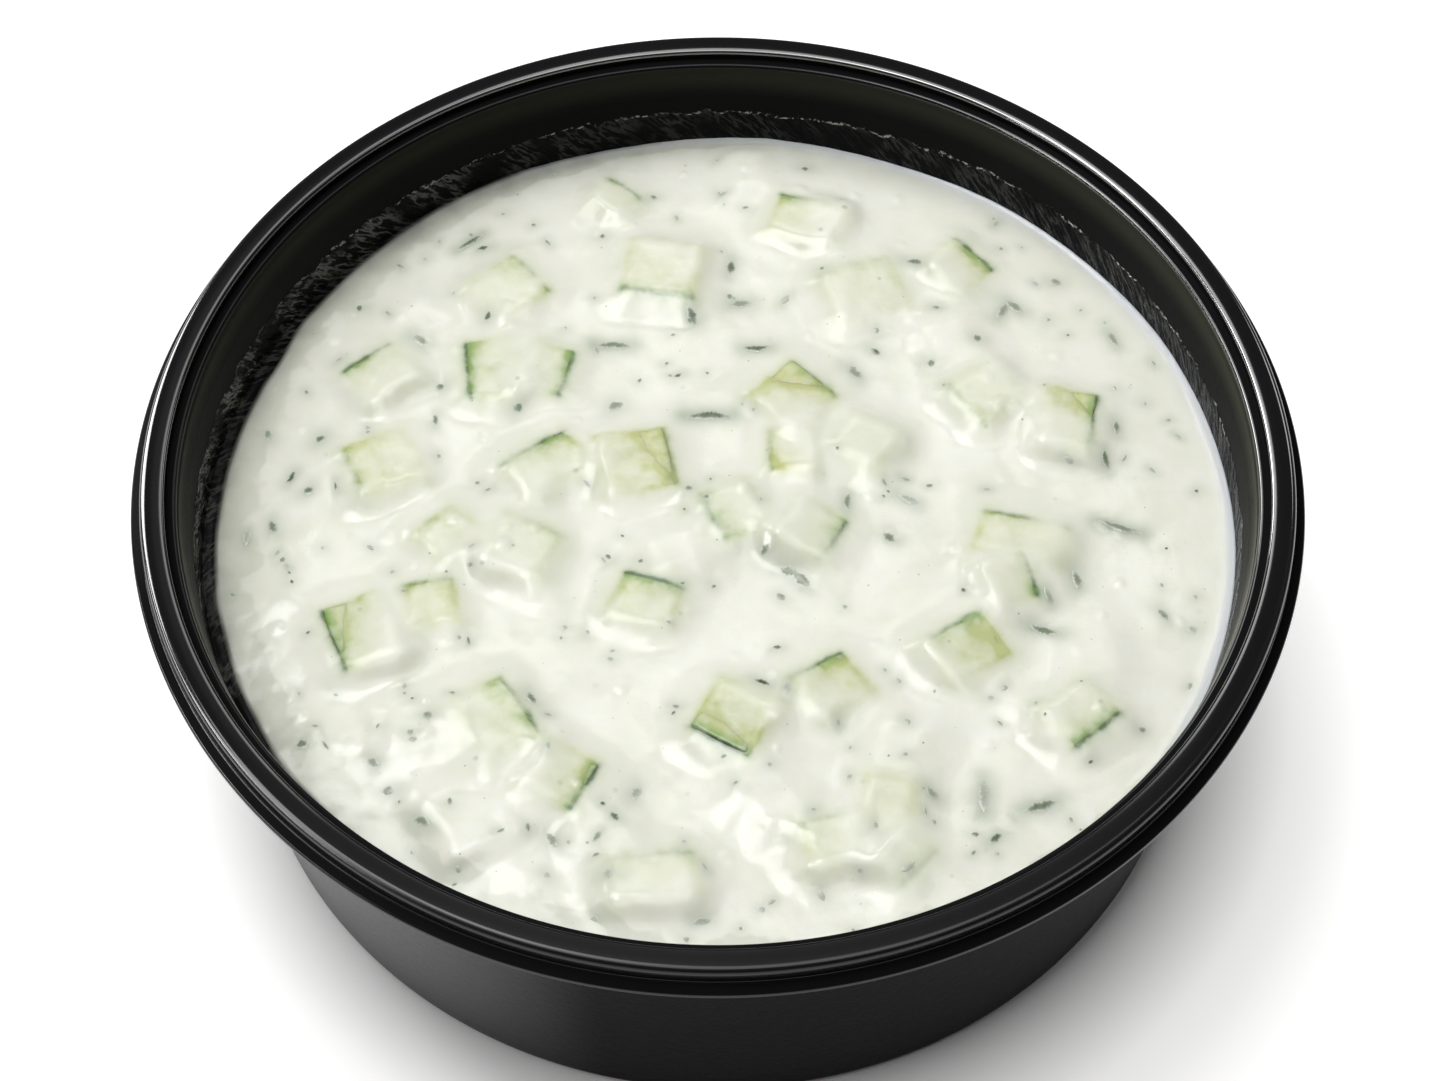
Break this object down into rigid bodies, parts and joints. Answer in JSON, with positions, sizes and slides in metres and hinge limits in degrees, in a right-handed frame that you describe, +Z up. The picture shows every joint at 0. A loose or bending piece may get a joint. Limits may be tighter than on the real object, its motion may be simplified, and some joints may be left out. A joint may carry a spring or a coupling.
{
  "type": "tzatziki dip in a tub",
  "caption": "Round black takeaway tub filled with tzatziki: thick white yogurt dip with diced cucumber and chopped dill, open at the top.",
  "frame": {"origin": "centre of the tub's flat base, on the surface that it stands on", "axes": "+Z up out of the mouth, the tub is round about Z, -Y is the side nearest to the viewer"},
  "size_m": [0.117, 0.117, 0.04],
  "materials": {
    "tub": "black moulded polypropylene, glossy rim, satin walls",
    "yogurt": "thick wet yogurt with a soft gloss",
    "cucumber": "wet cut cucumber flesh with a dark green skin edge"
  },
  "bodies": {
    "root": {"tub": "tub", "dip": "yogurt", "cucumber_01": "cucumber", "cucumber_02": "cucumber", "cucumber_03": "cucumber", "cucumber_04": "cucumber", "cucumber_05": "cucumber", "cucumber_06": "cucumber", "cucumber_07": "cucumber", "cucumber_08": "cucumber", "cucumber_09": "cucumber", "cucumber_10": "cucumber", "cucumber_11": "cucumber", "cucumber_12": "cucumber", "cucumber_13": "cucumber", "cucumber_14": "cucumber", "cucumber_15": "cucumber", "cucumber_16": "cucumber", "cucumber_17": "cucumber", "cucumber_18": "cucumber", "cucumber_19": "cucumber", "cucumber_20": "cucumber", "cucumber_21": "cucumber", "cucumber_22": "cucumber", "cucumber_23": "cucumber", "cucumber_24": "cucumber", "cucumber_25": "cucumber", "cucumber_26": "cucumber", "cucumber_27": "cucumber", "cucumber_28": "cucumber", "cucumber_29": "cucumber", "cucumber_30": "cucumber", "cucumber_31": "cucumber", "cucumber_32": "cucumber", "cucumber_33": "cucumber", "cucumber_34": "cucumber", "cucumber_35": "cucumber", "cucumber_36": "cucumber"}
  },
  "joints": []
}
